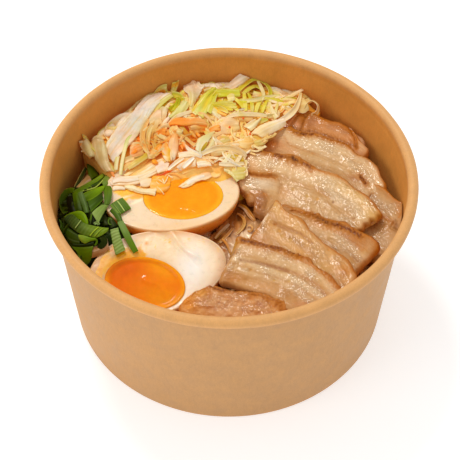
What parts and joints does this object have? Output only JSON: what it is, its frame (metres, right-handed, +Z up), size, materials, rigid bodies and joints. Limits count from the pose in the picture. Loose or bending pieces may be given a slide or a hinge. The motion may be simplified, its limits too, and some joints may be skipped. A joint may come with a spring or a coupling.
{
  "type": "takeaway paper bowl with noodles, pork belly and egg",
  "caption": "Round kraft paper bowl with a rolled rim, filled with a bed of noodles under sliced pork belly, marinated egg halves, shredded cabbage salad and cut green onion.",
  "frame": {"origin": "centre of the circle that the bowl stands on", "axes": "+Z up out of the bowl's open top, -Y towards the front egg and the lean end piece, +X towards the pork slices"},
  "size_m": [0.15, 0.15, 0.075],
  "materials": {
    "kraft_paper": "coated kraft board, satin",
    "noodle": "wet, translucent",
    "cabbage": "moist, crisp",
    "green_onion": "moist, smooth",
    "egg_white": "smooth, moist, tan at the skin",
    "egg_yolk": "glossy, jammy",
    "pork": "glazed, browned edges"
  },
  "bodies": {
    "root": {"bowl": "kraft_paper", "noodle_bed": "noodle", "cabbage_heap": "cabbage", "scallion_heap": "green_onion", "egg_back_white": "egg_white", "egg_back_yolk": "egg_yolk", "egg_front_white": "egg_white", "egg_front_yolk": "egg_yolk", "pork_wall_piece": "pork", "pork_rear_offcut": "pork", "pork_rear_slice": "pork", "pork_slice_1": "pork", "pork_slice_2": "pork", "pork_slice_3": "pork", "pork_slice_4": "pork", "pork_slice_5": "pork", "pork_lean_end": "pork"}
  },
  "joints": []
}
